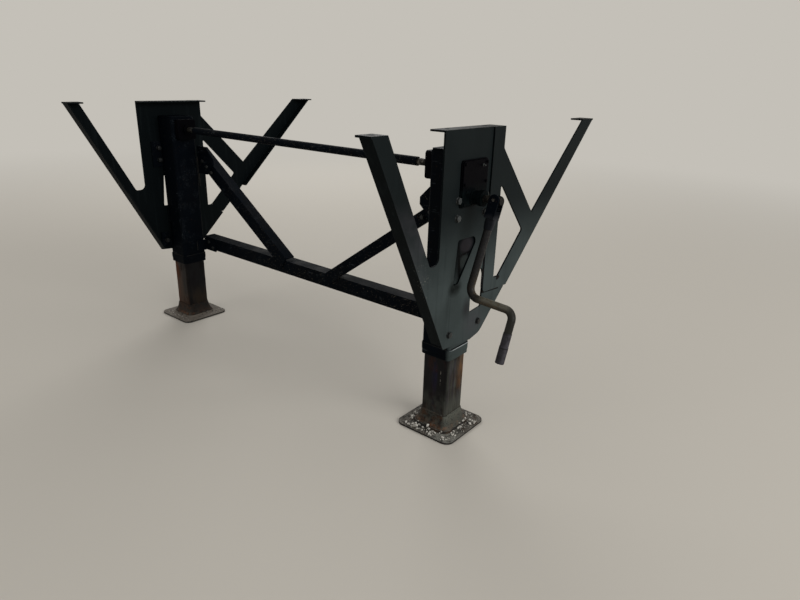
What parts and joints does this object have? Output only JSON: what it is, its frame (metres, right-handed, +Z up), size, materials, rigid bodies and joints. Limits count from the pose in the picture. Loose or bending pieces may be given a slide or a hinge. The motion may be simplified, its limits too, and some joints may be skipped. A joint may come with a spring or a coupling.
{
  "type": "semi trailer landing gear",
  "caption": "Crank-driven landing gear of a semi trailer: telescoping legs on cushion feet in pressed wing brackets, tied by a K brace and a cross shaft.",
  "frame": {"origin": "midway between the legs, on the plane where the brackets bolt up under the trailer's crossmembers", "axes": "+X to the trailer's rear, +Y from the crank side to the far side, +Z up"},
  "size_m": [1.44, 2.1555, 1.125],
  "materials": {
    "bracket_paint": "satin grey-black enamel under a film of road dust",
    "black_paint": "blue-black chassis enamel, chipped and scuffed",
    "gearbox_paint": "dark greasy paint",
    "worn_tube": "dark worn steel streaked with rust and grease",
    "foot_casting": "rusty casting with mud at its foot",
    "shoe_plate": "scraped plate under gravel dust",
    "bare_steel": "dull machined steel",
    "crank_steel": "brown weathered steel with worn paint",
    "crank_grip": "dark worn sleeve"
  },
  "bodies": {
    "frame": {"bracket_panel_near": "bracket_paint", "bracket_panel_far": "bracket_paint", "bracket_wing_near": "bracket_paint", "bracket_wing_far": "bracket_paint", "outer_tube_near": "black_paint", "outer_tube_far": "black_paint", "tube_cap_near": "black_paint", "tube_cap_far": "black_paint", "tube_collar_near": "black_paint", "tube_collar_far": "black_paint", "tube_ears_near": "black_paint", "tube_ears_far": "black_paint", "brace_diagonal_near": "black_paint", "brace_diagonal_far": "black_paint", "brace_clip_lower_near": "black_paint", "brace_clip_lower_far": "black_paint", "brace_clip_upper_near": "black_paint", "brace_clip_upper_far": "black_paint", "bevel_housing_near": "gearbox_paint", "bevel_housing_far": "gearbox_paint", "brace_beam": "black_paint", "gear_case": "gearbox_paint", "gear_cover": "gearbox_paint"},
    "leg_near": {"inner_tube_near": "worn_tube", "foot_hub_near": "foot_casting", "foot_shoe_near": "shoe_plate"},
    "leg_far": {"inner_tube_far": "worn_tube", "foot_hub_far": "foot_casting", "foot_shoe_far": "shoe_plate"},
    "cross_drive": {"cross_tube": "black_paint", "cross_stub_near": "bare_steel", "cross_stub_far": "bare_steel"},
    "input_shaft": {"crank_shaft": "bare_steel"},
    "crank": {"crank_pin": "bare_steel", "crank_ears": "black_paint", "crank_rod": "crank_steel", "crank_grip": "crank_grip"}
  },
  "joints": [
    {"name": "crank_spin", "type": "hinge", "parent": "frame", "child": "input_shaft", "pos_m": [0, -0.98, -0.222], "axis": [0, -1, 0], "range_deg": [-7920, 7200]},
    {"name": "crank_fold", "type": "hinge", "parent": "input_shaft", "child": "crank", "pos_m": [0, -1.019, -0.222], "axis": [-0.9659, 0, 0.2588], "range_deg": [0, 93]},
    {"name": "leg_near_slide", "type": "slide", "parent": "frame", "child": "leg_near", "axis": [0, 0, -1], "range_m": [-0.2201, 0.2001]},
    {"name": "leg_far_slide", "type": "slide", "parent": "frame", "child": "leg_far", "axis": [0, 0, -1], "range_m": [-0.2201, 0.2001]},
    {"name": "cross_spin", "type": "hinge", "parent": "frame", "child": "cross_drive", "pos_m": [0, 0, -0.13], "axis": [0, -1, 0], "range_deg": [-7201, 7921]}
  ],
  "couplings": [
    {"joint": "leg_near_slide", "follows": "crank_spin", "m_per_rad": 0.0015915},
    {"joint": "leg_far_slide", "follows": "crank_spin", "m_per_rad": 0.0015915},
    {"joint": "cross_spin", "follows": "crank_spin", "ratio": -1}
  ]
}
